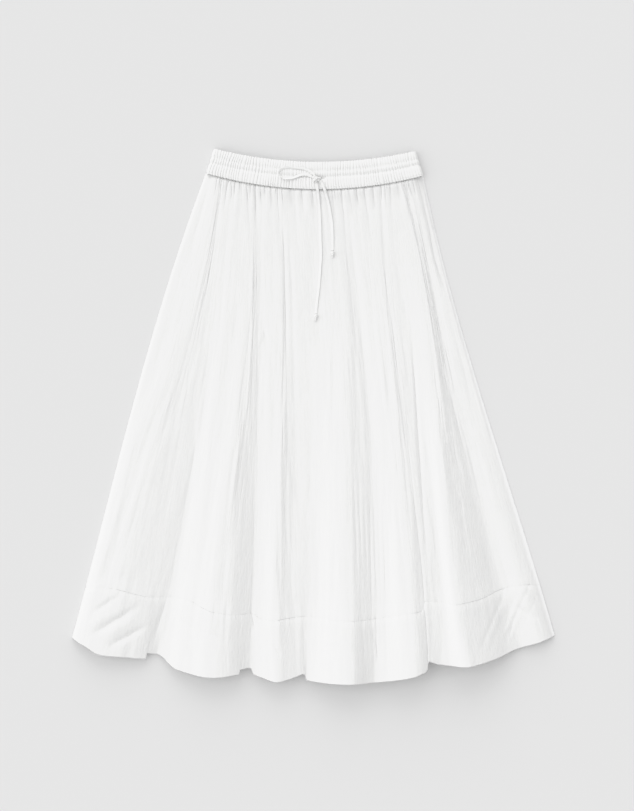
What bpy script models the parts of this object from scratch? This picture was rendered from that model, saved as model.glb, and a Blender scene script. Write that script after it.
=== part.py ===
"""A gathered maxi skirt in white cotton, laid flat on its back with the waist at +Y.

The cloth is built as walls of their real thickness. Each panel is a grid whose points lie
on a surface drawn through its fold lines: a table has one row for each crest, fold edge and
valley, in their order across the cloth, and the surface runs smoothly through the rows.
X is to the right, +Y to the waist and +Z up from the table, with z = 0 on the table.
"""

import math
from collections import namedtuple

import bmesh
import bpy
import numpy as np
from mathutils import Vector

MM = 0.001

# Cloth, in millimetres
PANEL_WALL = 1.2
HEM_WALL = 2.0
SEAM_GAP = 0.4
LAYER_GAP = 0.3
HEM_RISE = 20.0

# Waistband, in millimetres: one elastic tube in three puffed rows, flattened
BAND_TOP_HALF_WIDTH = 178.2
BAND_SEAM_HALF_WIDTH = 191.0
BAND_TOP_CENTRE = 2.2
BAND_SEAM_CENTRE = 2.6
BAND_TOP_Y = 466.0
BAND_SEAM_Y = 424.0
BAND_TOP_SAG = 21.5
BAND_SEAM_SAG = 26.0
BAND_TILT = 2.0
BAND_THICKNESS = 11.0
BAND_WALL = 2.4
BAND_STITCH_DIP = 1.8
BAND_GATHER_DEPTH = 1.0
BAND_GATHER_AT_STITCH = 0.4
BAND_FLAT_STEPS = 88
BAND_TURN_STEPS = 8
WELD_DISTANCE = 0.05

# Gathers of the panels at the waist seam
GATHER_LIFT = 4.4
BACK_GATHER_LIFT = 2.4
GATHER_STEEPNESS = 0.55
GATHER_COLUMNS = 3
SHORT_GATHER, LONG_GATHER = 26.0, 96.0
GATHER_ROOM_LENGTH = 240.0
SIDE_FADE = 26.0
NEIGHBOUR_SHARE = 0.618
FRONT_GATHERS = 39
BACK_GATHERS = 32

# Heights along the skirt at which the fold lines are set, between the waist and the hem
UPPER_Y = 212.0
MIDDLE_Y = -60.0
FOLD_GROWTH = 1.4
WAIST_SPREAD = 0.8

FRONT_ROWS = (0.0, 0.03, 0.07, 0.12, 0.19, 0.29, 0.43, 0.6, 0.8, 1.0)
BACK_ROWS = (0.0, 0.05, 0.13, 0.35, 0.65, 1.0)
FRONT_HEM_ROWS = (0.0, 0.35, 0.7, 1.0)
BACK_HEM_ROWS = (0.0, 1.0)

# One fold line: its X at the waist seam, at UPPER_Y, at MIDDLE_Y and at the hem, the Y of
# the hem band's seam and of the hem there, and how far the hem stands up. In millimetres.
Fold = namedtuple("Fold", "name waist upper middle hem seam_y hem_y height")

FRONT_FOLDS = (
    Fold("side_left", -189, -262, -338, -424, -301, -394, 0),
    Fold("flare1_flank", -178, -234, -314, -403, -301, -403, 9),
    Fold("flare1_crest", -165, -206, -286, -371, -304, -420, 17),
    Fold("flare1_edge", -157, -186, -237, -303, -318, -424, 8),
    Fold("valley1", -148, -173, -210, -276, -318, -423, 1),
    Fold("flare2_flank", -137, -153, -186, -237, -323, -446, 13),
    Fold("flare2_crest", -116, -111, -137, -176, -346, -458, 26),
    Fold("flare2_edge", -101, -102, -115, -131, -349, -453, 17),
    Fold("valley2", -94, -94, -101, -113, -347, -448, 8),
    Fold("flare3_flank", -87, -83, -87, -90, -357, -459, 12),
    Fold("flare3_crest", -71, -60, -62, -64, -359, -466, 22),
    Fold("flare3_far", -61, -53, -52, -41, -356, -461, 17),
    Fold("valley3", -50, -43, -36, -18, -353, -453, 12),
    Fold("flare4_edge", -29, -17, -8, -11, -352, -464, 17),
    Fold("ridge_a", 25, 46, 57, 64, -360, -469, 36),
    Fold("valley4", 52, 73, 97, 106, -356, -467, 18),
    Fold("ridge_b", 95, 117, 146, 171, -346, -457, 35),
    Fold("flare4_far_edge", 115, 129, 160, 191, -343, -449, 31),
    Fold("valley5", 122, 136, 169, 201, -325, -433, 24),
    Fold("flare5_flank", 134, 158, 197, 237, -326, -437, 25),
    Fold("flare5_crest", 151, 194, 221, 265, -330, -438, 40),
    Fold("flare5_slope", 159, 203, 246, 314, -322, -427, 23),
    Fold("valley6", 167, 211, 269, 362, -305, -408, 3),
    Fold("flare6_crest", 178, 226, 295, 396, -298, -398, 9),
    Fold("side_right", 193, 243, 324, 424, -296, -387, 0),
)

BACK_FOLDS = (
    Fold("side_left", -189, -262, -338, -424, -301, -393, 0),
    Fold("rise1", -181, -249, -323, -398, -302, -398, 0),
    Fold("fold1", -167, -211, -279, -351, -304, -408, 6),
    Fold("fall1", -155, -188, -241, -300, -313, -412, 0),
    Fold("rise2", -141, -165, -199, -260, -318, -419, 0),
    Fold("fold2", -118, -118, -143, -181, -329, -431, 7),
    Fold("fall2", -104, -104, -118, -132, -334, -438, 0),
    Fold("rise3", -88, -85, -88, -94, -338, -443, 0),
    Fold("fold3", -71, -61, -63, -64, -341, -446, 6),
    Fold("fall3", -57, -48, -41, -29, -343, -448, 0),
    Fold("rise4", -13, 6, 20, 31, -345, -450, 0),
    Fold("fold4", 24, 44, 55, 64, -346, -452, 6),
    Fold("fall4", 50, 69, 88, 106, -344, -448, 0),
    Fold("rise5", 73, 92, 116, 136, -342, -445, 0),
    Fold("fold5", 95, 116, 144, 165, -336, -439, 7),
    Fold("fall5", 116, 130, 160, 188, -326, -425, 0),
    Fold("rise6", 136, 160, 199, 237, -322, -429, 0),
    Fold("fold6", 150, 190, 221, 276, -316, -426, 7),
    Fold("fall6", 158, 200, 244, 321, -310, -416, 0),
    Fold("rise7", 171, 214, 274, 370, -305, -403, 0),
    Fold("fold7", 179, 227, 297, 395, -301, -395, 4),
    Fold("side_right", 193, 243, 324, 424, -296, -386, 0),
)

# Drawstring, in millimetres. Its routes are set by hand: X, Y and height of the centreline.
CORD_DIAMETER = 3.6
KNOT_CENTRE, KNOT_SIZE = (3.5, 414.5, 15.1), (11.0, 12.0, 8.0)
LONG_END_KNOT, SHORT_END_KNOT = (4.0, 174.0, 9.7), (33.5, 284.5, 10.3)
END_KNOT_SIZE = (6.0, 8.5, 5.6)
BOW_KNOT_SEGMENTS, END_KNOT_SEGMENTS = 12, 8

LOOP_ROUTE = (
    (1.6, 421.4, 14.8),
    (-3.4, 426.8, 14.0),
    (-10.2, 430.3, 13.6),
    (-17.9, 432.8, 13.5),
    (-25.7, 434.0, 13.5),
    (-33.6, 434.7, 13.5),
    (-41.3, 435.4, 13.5),
    (-49.2, 434.7, 13.5),
    (-55.5, 432.8, 13.2),
    (-60.2, 428.6, 12.9),
    (-60.9, 424.0, 12.8),
    (-57.5, 419.2, 12.8),
    (-49.2, 415.2, 12.9),
    (-41.3, 415.6, 12.9),
    (-33.6, 417.4, 12.9),
    (-27.3, 420.0, 12.9),
    (-20.0, 422.2, 13.0),
    (-12.0, 422.2, 13.2),
    (-6.6, 420.4, 13.8),
    (-2.4, 418.3, 14.4),
)
LONG_TAIL_ROUTE = (
    (5.4, 408.4, 14.2),
    (7.0, 397.3, 12.5),
    (9.1, 378.0, 11.5),
    (11.0, 352.6, 10.1),
    (11.9, 327.3, 9.4),
    (12.6, 301.0, 9.1),
    (13.0, 283.5, 9.0),
    (12.1, 264.3, 8.9),
    (11.0, 248.5, 8.9),
    (9.3, 225.8, 8.8),
    (6.0, 196.9, 8.8),
    (4.4, 178.9, 8.9),
)
SHORT_TAIL_ROUTE = (
    (10.0, 412.0, 14.4),
    (14.2, 407.8, 13.5),
    (17.2, 401.5, 13.0),
    (20.3, 393.8, 12.4),
    (22.8, 385.0, 11.9),
    (25.4, 376.3, 11.1),
    (29.9, 352.6, 10.5),
    (32.6, 333.6, 9.7),
    (33.4, 318.0, 9.5),
    (33.6, 302.0, 9.4),
    (33.5, 289.4, 9.5),
)
CORD_POINT_SPACING = 9.0

COTTON_WHITE = (0.87, 0.87, 0.865)
BAND_WHITE = (0.86, 0.86, 0.855)
CORD_WHITE = (0.84, 0.84, 0.83)


def clear_scene():
    """Removes whatever the file holds."""
    for obj in list(bpy.data.objects):
        bpy.data.objects.remove(obj, do_unlink=True)


def make_material(name, colour, roughness):
    """A matt cloth material."""
    material = bpy.data.materials.new(name)
    material.use_nodes = True
    shader = material.node_tree.nodes["Principled BSDF"]
    shader.inputs["Base Color"].default_value = (*colour, 1.0)
    shader.inputs["Roughness"].default_value = roughness
    shader.inputs["Metallic"].default_value = 0.0
    return material


def smooth_step(value):
    """0 below 0, 1 above 1, and an S curve between."""
    value = np.clip(value, 0.0, 1.0)
    return value * value * (3.0 - 2.0 * value)


def curve_through(knots, values, at):
    """The smooth curve through the values at the knots, which never overshoots them."""
    knots, values = np.asarray(knots, float), np.asarray(values, float)
    step = np.diff(knots)
    rise = np.diff(values) / step
    before, after = rise[:-1], rise[1:]
    turns = before * after <= 0.0
    total = np.where(turns, 1.0, before + after)
    slope = np.zeros(len(knots))
    slope[1:-1] = np.where(turns, 0.0, 2.0 * before * after / total)
    slope[0], slope[-1] = rise[0], rise[-1]
    index = np.clip(np.searchsorted(knots, at, side="right") - 1, 0, len(step) - 1)
    s = (at - knots[index]) / step[index]
    start, end = values[index], values[index + 1]
    bend = s * (1.0 - s)
    pull = (1.0 - s) * slope[index] - s * slope[index + 1]
    twist = (1.0 - 2.0 * s) * (end - start)
    return start + s * (end - start) + bend * (pull * step[index] - twist)


def cubic_through(stations, values, at):
    """The cubic through four stations, read at one place."""
    total = 0.0
    for i, (station, value) in enumerate(zip(stations, values)):
        weight = 1.0
        for j, other in enumerate(stations):
            if j != i:
                weight *= (at - other) / (station - other)
        total += weight * value
    return total


def waist_y(x, along):
    """Y of the waistband at x, from its heading (along = 0) to its seam (along = 1)."""
    centre = BAND_TOP_CENTRE + (BAND_SEAM_CENTRE - BAND_TOP_CENTRE) * along
    half_width = BAND_TOP_HALF_WIDTH + (BAND_SEAM_HALF_WIDTH - BAND_TOP_HALF_WIDTH) * along
    level = BAND_TOP_Y + (BAND_SEAM_Y - BAND_TOP_Y) * along
    sag = BAND_TOP_SAG + (BAND_SEAM_SAG - BAND_TOP_SAG) * along
    across = (x - centre) / half_width
    return level - sag * (1.0 - across * across) - BAND_TILT * across


class Sheet:
    """The cloth of one side of the skirt, from its fold lines."""

    def __init__(self, folds, gathers, gather_lift, is_front):
        self.columns = gathers * GATHER_COLUMNS
        self.gather_lift = gather_lift
        self.is_front = is_front
        knots = self._knots(folds)
        places = np.linspace(0.0, knots[-1], self.columns + 1)
        for field in Fold._fields[1:]:
            values = [getattr(fold, field) for fold in folds]
            setattr(self, field, curve_through(knots, values, places))
        self.seam = np.array([waist_y(x, 1.0) - SEAM_GAP for x in self.waist])
        self.spacing = np.gradient(self.waist) * GATHER_COLUMNS
        from_side = np.minimum(self.waist - self.waist[0], self.waist[-1] - self.waist)
        self.fullness = smooth_step(from_side / SIDE_FADE)

    def _knots(self, folds):
        """Distance of each fold line from the left side, along the hem and the waist."""
        places = [0.0]
        for one, two in zip(folds, folds[1:]):
            hem_x, hem_y, up = two.hem - one.hem, two.hem_y - one.hem_y, two.height - one.height
            hem_run = math.sqrt(hem_x**2 + hem_y**2 + up**2)
            places.append(places[-1] + hem_run + WAIST_SPREAD * abs(two.waist - one.waist))
        return places

    def gather_height(self, column, below_seam):
        """How far the gather at this column lifts the cloth. Neighbours differ in length."""
        number, phase = divmod(column, GATHER_COLUMNS)
        share = (number * NEIGHBOUR_SHARE) % 1.0
        length = SHORT_GATHER + (LONG_GATHER - SHORT_GATHER) * share
        lift = min(self.gather_lift, GATHER_STEEPNESS * self.spacing[column])
        lift *= self.fullness[column]
        wave = 0.5 - 0.5 * math.cos(2.0 * math.pi * phase / GATHER_COLUMNS)
        return lift * wave * (1.0 - smooth_step(below_seam / length))

    def base_height(self, column, y):
        """Height of the front's underside where it lies on the back."""
        if not self.is_front:
            return 0.0
        room = (BACK_GATHER_LIFT + 2.0 * LAYER_GAP) * self.fullness[column]
        room *= 1.0 - smooth_step((self.seam[column] - y) / GATHER_ROOM_LENGTH)
        step = smooth_step((self.seam_y[column] + HEM_RISE - y) / HEM_RISE)
        return PANEL_WALL + LAYER_GAP + (HEM_WALL - PANEL_WALL) * step + room

    def point(self, column, y):
        """The underside of the cloth at one column, at this Y."""
        stations = (self.seam[column], UPPER_Y, MIDDLE_Y, self.hem_y[column])
        across = (self.waist[column], self.upper[column], self.middle[column], self.hem[column])
        x = cubic_through(stations, across, y)
        below = (self.seam[column] - y) / (self.seam[column] - self.hem_y[column])
        fold = self.height[column] * max(below, 0.0) ** FOLD_GROWTH
        z = self.base_height(column, y) + fold
        z += self.gather_height(column, max(self.seam[column] - y, 0.0))
        return Vector((x, y, z)) * MM

    def panel_span(self, column):
        """From the waist seam to the hem band's seam."""
        return self.seam[column], self.seam_y[column] + SEAM_GAP / 2.0

    def hem_span(self, column):
        """From the hem band's seam to the hem."""
        return self.seam_y[column] - SEAM_GAP / 2.0, self.hem_y[column]


def add_object(name, mesh, material, collection):
    """Puts a mesh in the skirt's collection, shaded smooth."""
    mesh.materials.append(material)
    mesh.shade_smooth()
    obj = bpy.data.objects.new(name, mesh)
    collection.objects.link(obj)
    return obj


def moved_grid(name, columns, rows, place):
    """A grid whose vertex in each column and row is put where place(column, row) says."""
    mesh = bpy.data.meshes.new(name)
    bm = bmesh.new()
    bmesh.ops.create_grid(bm, x_segments=columns, y_segments=rows, size=0.5)
    for vertex in bm.verts:
        column = round((vertex.co.x + 0.5) * columns)
        row = round((0.5 - vertex.co.y) * rows)
        vertex.co = place(column, row)
    bm.to_mesh(mesh)
    bm.free()
    return mesh


def add_wall(obj, thickness, side):
    """Gives an open surface its thickness, outward (side = 1) or inward (side = -1)."""
    wall = obj.modifiers.new("wall", "SOLIDIFY")
    wall.thickness = thickness * MM
    wall.offset = side
    wall.use_even_offset = True
    wall.use_quality_normals = True


def add_cloth(name, sheet, span, rows, wall, material, collection):
    """One cut piece of a sheet, between the two edges that span gives for a column."""

    def place(column, row):
        top, bottom = span(column)
        return sheet.point(column, top + (bottom - top) * rows[row])

    mesh = moved_grid(name, sheet.columns, len(rows) - 1, place)
    obj = add_object(name, mesh, material, collection)
    add_wall(obj, wall, 1)
    return obj


# The waistband's rows from heading to seam: place along it, and how far the casing puffs
BandRow = namedtuple("BandRow", "along puff")
BAND_ROWS = (
    BandRow(0.0, 0.55),
    BandRow(0.16, 1.0),
    BandRow(0.32, 0.0),
    BandRow(0.43, 0.85),
    BandRow(0.54, 0.0),
    BandRow(0.78, 1.0),
    BandRow(1.0, 0.3),
)


def band_outline(step, half_flat):
    """Place and outward direction on the flattened tube's outline, at one step round it."""
    flat, turn = BAND_FLAT_STEPS, BAND_TURN_STEPS
    if step < flat:
        return half_flat * (2.0 * step / flat - 1.0), math.pi / 2.0
    step -= flat
    if step < turn:
        return half_flat, math.pi / 2.0 - math.pi * step / turn
    step -= turn
    if step < flat:
        return half_flat * (1.0 - 2.0 * step / flat), -math.pi / 2.0
    step -= flat
    return -half_flat, -math.pi / 2.0 - math.pi * step / turn


def add_waistband(material, collection):
    """The elastic waistband: a flattened tube, gathered all round in three puffed rows."""
    steps = 2 * (BAND_FLAT_STEPS + BAND_TURN_STEPS)
    radius = BAND_THICKNESS / 2.0

    def place(step, row):
        along, puff = BAND_ROWS[row]
        centre = BAND_TOP_CENTRE + (BAND_SEAM_CENTRE - BAND_TOP_CENTRE) * along
        half_width = BAND_TOP_HALF_WIDTH + (BAND_SEAM_HALF_WIDTH - BAND_TOP_HALF_WIDTH) * along
        x, angle = band_outline(step % steps, half_width - radius)
        free = BAND_GATHER_AT_STITCH + (1.0 - BAND_GATHER_AT_STITCH) * puff
        gather = BAND_GATHER_DEPTH * (step % 2) * free
        reach = radius - BAND_STITCH_DIP * (1.0 - puff) - gather
        x += centre + reach * math.cos(angle)
        z = radius + reach * math.sin(angle)
        return Vector((x, waist_y(x, along), z)) * MM

    mesh = moved_grid("waistband", steps, len(BAND_ROWS) - 1, place)
    bm = bmesh.new()
    bm.from_mesh(mesh)
    bmesh.ops.remove_doubles(bm, verts=bm.verts, dist=WELD_DISTANCE * MM)
    bmesh.ops.recalc_face_normals(bm, faces=bm.faces)
    bm.to_mesh(mesh)
    bm.free()
    obj = add_object("waistband", mesh, material, collection)
    add_wall(obj, BAND_WALL, -1)
    return obj


def route_curve(route):
    """Points about every CORD_POINT_SPACING along the smooth curve through a route."""
    route = np.array(route)
    lengths = np.linalg.norm(np.diff(route, axis=0), axis=1)
    places = np.concatenate(([0.0], np.cumsum(lengths)))
    count = max(2, round(places[-1] / CORD_POINT_SPACING))
    at = np.linspace(0.0, places[-1], count + 1)
    return np.stack([curve_through(places, route[:, axis], at) for axis in range(3)], axis=1)


def add_cord(name, route, material, collection):
    """One stretch of the drawstring, as a round tube along its route."""
    points = route_curve(route)
    curve = bpy.data.curves.new(name, "CURVE")
    curve.dimensions = "3D"
    curve.bevel_depth = CORD_DIAMETER / 2.0 * MM
    curve.bevel_resolution = 2
    curve.use_fill_caps = True
    spline = curve.splines.new("POLY")
    spline.points.add(len(points) - 1)
    for target, point in zip(spline.points, points):
        target.co = (*(point * MM), 1.0)
    curve.materials.append(material)
    obj = bpy.data.objects.new(name, curve)
    collection.objects.link(obj)
    return obj


def add_knot(name, centre, size, segments, material, collection):
    """A knot, as a rounded lump of its outer size."""
    mesh = bpy.data.meshes.new(name)
    bm = bmesh.new()
    bmesh.ops.create_uvsphere(bm, u_segments=segments, v_segments=segments // 2 + 1, radius=0.5)
    for vertex in bm.verts:
        vertex.co = Vector([axis * length * MM for axis, length in zip(vertex.co, size)])
    bm.to_mesh(mesh)
    bm.free()
    obj = add_object(name, mesh, material, collection)
    obj.location = Vector(centre) * MM
    return obj


def main():
    clear_scene()
    collection = bpy.data.collections.new("gathered_maxi_skirt")
    bpy.context.scene.collection.children.link(collection)
    cotton = make_material("cotton", COTTON_WHITE, 0.85)
    casing = make_material("gathered_casing", BAND_WHITE, 0.88)
    cord = make_material("drawstring_cord", CORD_WHITE, 0.8)

    front = Sheet(FRONT_FOLDS, FRONT_GATHERS, GATHER_LIFT, True)
    back = Sheet(BACK_FOLDS, BACK_GATHERS, BACK_GATHER_LIFT, False)
    pieces = (
        ("back_panel", back, back.panel_span, BACK_ROWS, PANEL_WALL),
        ("back_hem_band", back, back.hem_span, BACK_HEM_ROWS, HEM_WALL),
        ("front_panel", front, front.panel_span, FRONT_ROWS, PANEL_WALL),
        ("front_hem_band", front, front.hem_span, FRONT_HEM_ROWS, HEM_WALL),
    )
    for name, sheet, span, rows, wall in pieces:
        add_cloth(name, sheet, span, rows, wall, cotton, collection)
    add_waistband(casing, collection)

    add_cord("drawstring_loop", LOOP_ROUTE, cord, collection)
    add_cord("drawstring_tail_long", LONG_TAIL_ROUTE, cord, collection)
    add_cord("drawstring_tail_short", SHORT_TAIL_ROUTE, cord, collection)
    add_knot("bow_knot", KNOT_CENTRE, KNOT_SIZE, BOW_KNOT_SEGMENTS, cord, collection)
    add_knot("end_knot_long", LONG_END_KNOT, END_KNOT_SIZE, END_KNOT_SEGMENTS, cord, collection)
    add_knot("end_knot_short", SHORT_END_KNOT, END_KNOT_SIZE, END_KNOT_SEGMENTS, cord, collection)


main()
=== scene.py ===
"""Looks of a gathered maxi skirt in white cotton, laid flat on its back, waist at +Y.

The cloth is drawn from the fold lines of the solids, a few of them at other heights, on a finer
grid. Its creases, gathers and crinkles are added by height. Lengths are in millimetres until a
mesh is made. X is to the right, +Y to the waist and +Z up from the table.
"""

import math
from collections import namedtuple

import bpy
import numpy as np
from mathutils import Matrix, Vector
from mathutils.bvhtree import BVHTree


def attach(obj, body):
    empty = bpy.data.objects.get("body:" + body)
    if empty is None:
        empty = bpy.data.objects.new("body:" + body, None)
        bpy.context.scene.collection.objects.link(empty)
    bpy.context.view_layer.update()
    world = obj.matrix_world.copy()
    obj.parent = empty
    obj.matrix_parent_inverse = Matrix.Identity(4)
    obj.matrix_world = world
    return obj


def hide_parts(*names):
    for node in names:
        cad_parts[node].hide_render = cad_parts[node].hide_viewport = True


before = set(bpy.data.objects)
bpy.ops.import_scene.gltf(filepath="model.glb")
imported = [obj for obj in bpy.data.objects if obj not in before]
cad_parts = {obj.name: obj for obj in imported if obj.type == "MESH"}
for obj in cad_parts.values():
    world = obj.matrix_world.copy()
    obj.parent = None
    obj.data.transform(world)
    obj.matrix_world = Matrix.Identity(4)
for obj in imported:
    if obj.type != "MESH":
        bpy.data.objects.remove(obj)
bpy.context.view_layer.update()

MM = 0.001


def number(word):
    """A word's number, or the word itself where it is a name."""
    try:
        return float(word)
    except ValueError:
        return word


def table(text):
    """The rows of a text, whose first line names their columns."""
    names, *rows = [line.split() for line in text.strip().splitlines()]
    kind = namedtuple("Row", names)
    return tuple(kind(*map(number, row)) for row in rows)


# ---- sizes shared with the solids
PANEL_WALL = 1.2
HEM_WALL = 2.0
SEAM_GAP = 0.4
LAYER_GAP = 0.3
HEM_RISE = 20.0

# The waistband's heading and its seam, which both sag in their middle
BandEdge = namedtuple("BandEdge", "half_width centre y sag")
BAND_TOP = BandEdge(178.2, 2.2, 466.0, 21.5)
BAND_SEAM = BandEdge(191.0, 2.6, 424.0, 26.0)
BAND_TILT = 2.0
BAND_THICKNESS = 11.0

BACK_GATHER_LIFT = 2.4
GATHER_STEEPNESS = 0.55
GATHER_ROOM_LENGTH = 240.0
FRONT_GATHERS = 39
BACK_GATHERS = 32

UPPER_Y = 212.0
MIDDLE_Y = -60.0
WAIST_SPREAD = 0.8

# A fold line: X at the waist seam, at UPPER_Y, at MIDDLE_Y and at the hem, Y of the hem band's
# seam and of the hem there, and how far the hem stands up.
# The front has a fold line that the solids lack, side_roll, and some heights of its own.
FRONT_FOLDS = table("""
name waist upper middle hem seam_y hem_y height
side_left -189 -262 -338 -424 -301 -394 0
side_roll -187 -258 -334 -419 -301 -396 6
flare1_flank -178 -234 -314 -403 -301 -403 13
flare1_crest -165 -206 -286 -371 -304 -420 15
flare1_edge -157 -186 -237 -303 -318 -424 8
valley1 -148 -173 -210 -276 -318 -423 1
flare2_flank -137 -153 -186 -237 -323 -446 13
flare2_crest -116 -111 -137 -176 -346 -458 26
flare2_edge -101 -102 -115 -131 -349 -453 17
valley2 -94 -94 -101 -113 -347 -448 8
flare3_flank -87 -83 -87 -90 -357 -459 12
flare3_crest -71 -60 -62 -64 -359 -466 22
flare3_far -61 -53 -52 -41 -356 -461 17
valley3 -50 -43 -36 -18 -353 -453 13
flare4_edge -29 -17 -8 -11 -352 -464 12
ridge_a 25 46 57 64 -360 -469 36
valley4 52 73 97 106 -356 -467 18
ridge_b 95 117 146 171 -346 -457 35
flare4_far_edge 115 129 160 191 -343 -449 31
valley5 122 136 169 201 -325 -433 26
flare5_flank 134 158 197 237 -326 -437 21
flare5_crest 151 194 221 265 -330 -438 40
flare5_slope 159 203 246 314 -322 -427 23
valley6 167 211 269 362 -305 -408 3
flare6_crest 178 226 295 396 -298 -398 9
side_right 193 243 324 424 -296 -387 0
""")

BACK_FOLDS = table("""
name waist upper middle hem seam_y hem_y height
side_left -189 -262 -338 -424 -301 -393 0
rise1 -181 -249 -323 -398 -302 -398 0
fold1 -167 -211 -279 -351 -304 -408 6
fall1 -155 -188 -241 -300 -313 -412 0
rise2 -141 -165 -199 -260 -318 -419 0
fold2 -118 -118 -143 -181 -329 -431 7
fall2 -104 -104 -118 -132 -334 -438 0
rise3 -88 -85 -88 -94 -338 -443 0
fold3 -71 -61 -63 -64 -341 -446 6
fall3 -57 -48 -41 -29 -343 -448 0
rise4 -13 6 20 31 -345 -450 0
fold4 24 44 55 64 -346 -452 6
fall4 50 69 88 106 -344 -448 0
rise5 73 92 116 136 -342 -445 0
fold5 95 116 144 165 -336 -439 7
fall5 116 130 160 188 -326 -425 0
rise6 136 160 199 237 -322 -429 0
fold6 150 190 221 276 -316 -426 7
fall6 158 200 244 321 -310 -416 0
rise7 171 214 274 370 -305 -403 0
fold7 179 227 297 395 -301 -395 4
side_right 193 243 324 424 -296 -386 0
""")

KNOT_CENTRE = (3.5, 414.5)
LONG_END_KNOT, SHORT_END_KNOT = (4.0, 174.0), (33.5, 284.5)
END_KNOT_SIZE = (6.0, 8.5, 5.6)

# Routes of the drawstring. Their Z only spaces the points: each ribbon settles on the cloth.
LOOP_ROUTE = table("""
x y z
1.6 421.4 14.8
-3.4 426.8 14.0
-10.2 430.3 13.6
-17.9 432.8 13.5
-25.7 434.0 13.5
-33.6 434.7 13.5
-41.3 435.4 13.5
-49.2 434.7 13.5
-55.5 432.8 13.2
-60.2 428.6 12.9
-60.9 424.0 12.8
-57.5 419.2 12.8
-49.2 415.2 12.9
-41.3 415.6 12.9
-33.6 417.4 12.9
-27.3 420.0 12.9
-20.0 422.2 13.0
-12.0 422.2 13.2
-6.6 420.4 13.8
-2.4 418.3 14.4
""")
LONG_TAIL_ROUTE = table("""
x y z
5.4 408.4 14.2
7.0 397.3 12.5
9.1 378.0 11.5
11.0 352.6 10.1
11.9 327.3 9.4
12.6 301.0 9.1
13.0 283.5 9.0
12.1 264.3 8.9
11.0 248.5 8.9
9.3 225.8 8.8
6.0 196.9 8.8
4.4 178.9 8.9
""")
SHORT_TAIL_ROUTE = table("""
x y z
10.0 412.0 14.4
14.2 407.8 13.5
17.2 401.5 13.0
20.3 393.8 12.4
22.8 385.0 11.9
25.4 376.3 11.1
29.9 352.6 10.5
32.6 333.6 9.7
33.4 318.0 9.5
33.6 302.0 9.4
33.5 289.4 9.5
""")

# ---- sizes of the looks alone
FRONT_GRID = (430, 104)
FRONT_HEM_GRID = (430, 26)
BACK_GRID = (300, 60)
BACK_HEM_GRID = (300, 12)

# The front's gathers, where they fade at a side, and how late and how softly the folds open
GATHER_LIFT = 1.9
SHORT_GATHER, LONG_GATHER = 22.0, 62.0
SIDE_FADE = 24.0
FOLD_GROWTH = 1.9
FOLD_SOFTNESS = 8.0

# Rows and columns close to each edge keep its round rim from tilting the cloth beside it
EDGE_SUPPORTS = (0.3, 1.5, 4.0)

# At the waist seam the cloth is pinched under the band and puffs up just below it
PINCH_DEPTH = 1.6
PINCH_FLAT, PINCH_LENGTH = 1.2, 4.0
PUFF_LIFT, PUFF_LENGTH = 1.2, 26.0
PINCHED_SHARE, PINCH_OPENING = 0.3, 0.7
GATHER_JITTER = 0.3
GATHER_ROUNDNESS = 0.42
GATHER_LENGTH_STEP = 0.618
GATHER_SHARE, GATHER_CHANGE = 0.72, 0.5
JITTER_SEED, FINE_SEED, GATHER_SEED, PUCKER_SEED = 5, 6, 7, 21
FINE_GATHERS_PER_GATHER = 2.3
FINE_GATHER_LIFT = 0.6
FINE_GATHER_LENGTH = 30.0

# The side seams are pressed flat: how thin the cloth is there, and how far in that reaches
SIDE_THINNESS, SIDE_PRESS = 0.2, 16.0
SIDE_CALM = 14.0

# The hem band's seam is a fine groove between two puckered edges
SEAM_GROOVE_DEPTH = 0.12
SEAM_GROOVE_WIDTH = 2.0
HEM_TAPER = 10.0
PUCKER_LIFT = 0.6
PUCKER_LENGTH = 15.0
PUCKER_PITCH = 9.0

# Where one fold's hem laps over the next: between two hem X, the hem's rise at each of them
FRONT_HEM_STEPS = table("""
x1 x2 rise1 rise2
-424 -408 3.5 0.0
-332 -293.5 0.0 -3.0
-293 -258 7.0 1.5
-129.5 -107.5 7.5 4.5
-107 -92 -3.5 -0.5
190.5 199.5 0.0 -11.0
200 216 4.0 0.0
""")

# Crinkles of the cotton: how wide and long one lump is, and how high
CRINKLES = table("""
across along lift seed
28.0 170.0 0.9 11
13.0 85.0 0.36 12
7.0 44.0 0.17 13
""")

# The share of their height at the waist, and how far below it they have opened to the whole
CRINKLES_AT_WAIST, CRINKLES_OPENING = 0.3, 0.7
CRINKLES_OPEN = 480.0

# A crease down the cloth's own run: X at the waist seam, and its start and end below that.
# A height below zero is a trough.
CREASE_FADE_IN, CREASE_FADE_OUT, CREASE_FADE_LENGTH, CREASE_SPREAD = 0.25, 0.35, 0.65, 1.2
FRONT_RUN_CREASES = table("""
waist_x start end width height
-179 14 190 3.0 -0.7
-161 0 170 3.0 -0.6
-150 0 70 2.4 -0.8
-137 0 40 2.2 -0.6
-119 10 96 3.0 -0.7
-102 0 84 2.4 -0.9
-93 0 480 3.4 -0.4
-76 0 52 2.2 -0.8
-63 6 110 2.8 -0.5
-57 20 560 2.6 -0.5
-46 20 610 2.8 -0.7
-40 0 44 2.0 -0.7
-34 0 90 2.2 -0.8
-21 0 58 2.2 -0.7
-4 0 46 2.0 -0.8
10 0 150 2.6 -0.6
32 0 76 2.4 -0.9
48 0 120 2.6 -0.8
56 20 480 3.6 -0.7
74 0 42 2.2 -0.6
90 0 88 2.4 -0.7
104 0 54 2.2 -0.7
118 0 470 3.2 -0.5
133 0 76 2.4 -0.5
146 0 52 2.2 -0.5
158 0 118 2.6 -0.5
171 40 300 2.6 -0.5
182 10 260 2.2 -0.6
""")
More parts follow.
